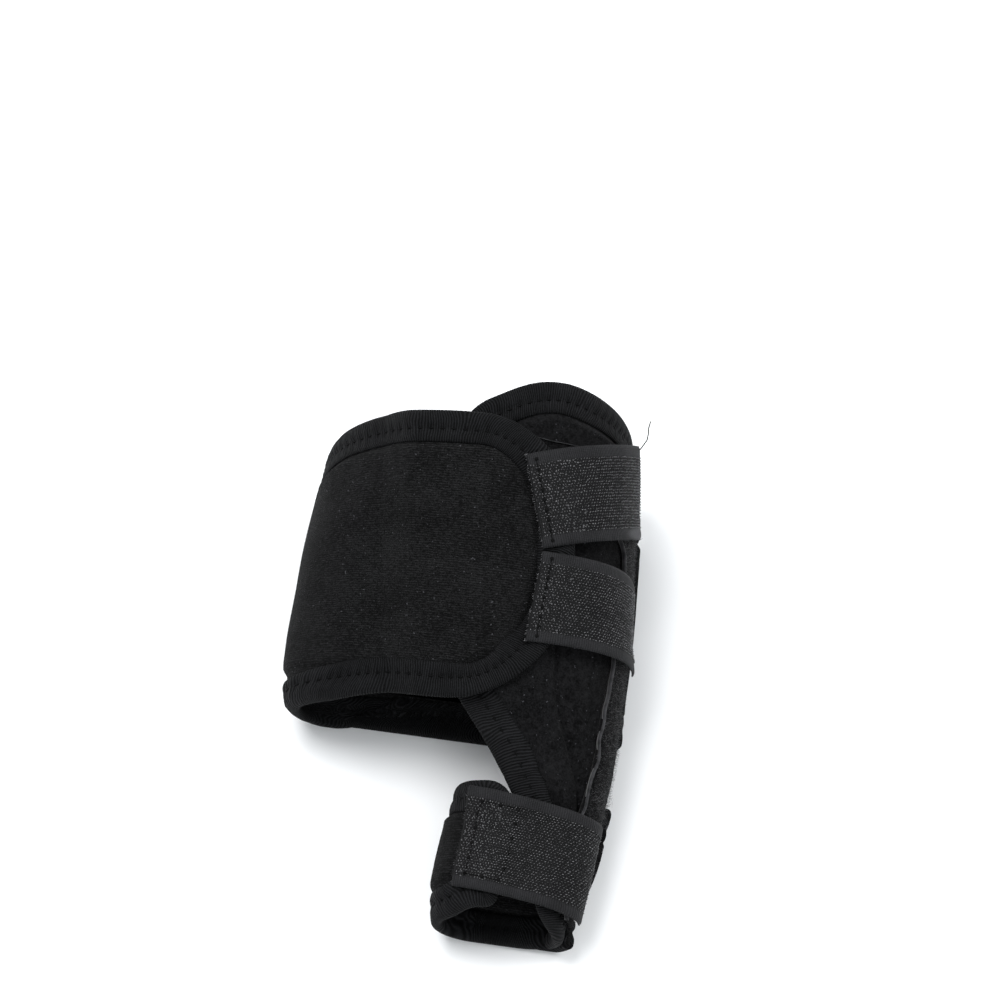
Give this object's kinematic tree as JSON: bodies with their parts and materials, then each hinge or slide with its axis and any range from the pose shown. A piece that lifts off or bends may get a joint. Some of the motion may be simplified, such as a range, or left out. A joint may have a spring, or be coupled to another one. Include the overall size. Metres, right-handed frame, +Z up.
{
  "type": "bunion corrector",
  "caption": "padded big-toe and instep wrap that holds the toe straight, with a side panel along the joint and hook straps that close it",
  "frame": {"origin": "middle of the box's underside, on the surface that the sole band rests on", "axes": "+Z up, -Y towards the toe, +X towards the inner side of the foot"},
  "size_m": [0.097, 0.1418, 0.0693],
  "materials": {
    "plush_cloth": "black brushed foam-backed cloth",
    "ribbed_cloth": "black fine ribbed knit on foam",
    "edge_tape": "black ribbed elastic binding",
    "loop_cloth": "dark grey fuzzy loop cloth",
    "hook_tape": "charcoal woven hook tape with a plain selvage"
  },
  "bodies": {
    "root": {"side_panel": "plush_cloth", "side_panel_tape": "edge_tape", "loop_panel": "loop_cloth", "instep_band": "ribbed_cloth", "instep_band_tape": "edge_tape", "toe_wrap": "ribbed_cloth", "toe_wrap_tape": "edge_tape", "rear_strap": "hook_tape", "front_strap": "hook_tape", "toe_strap": "hook_tape"}
  },
  "joints": []
}
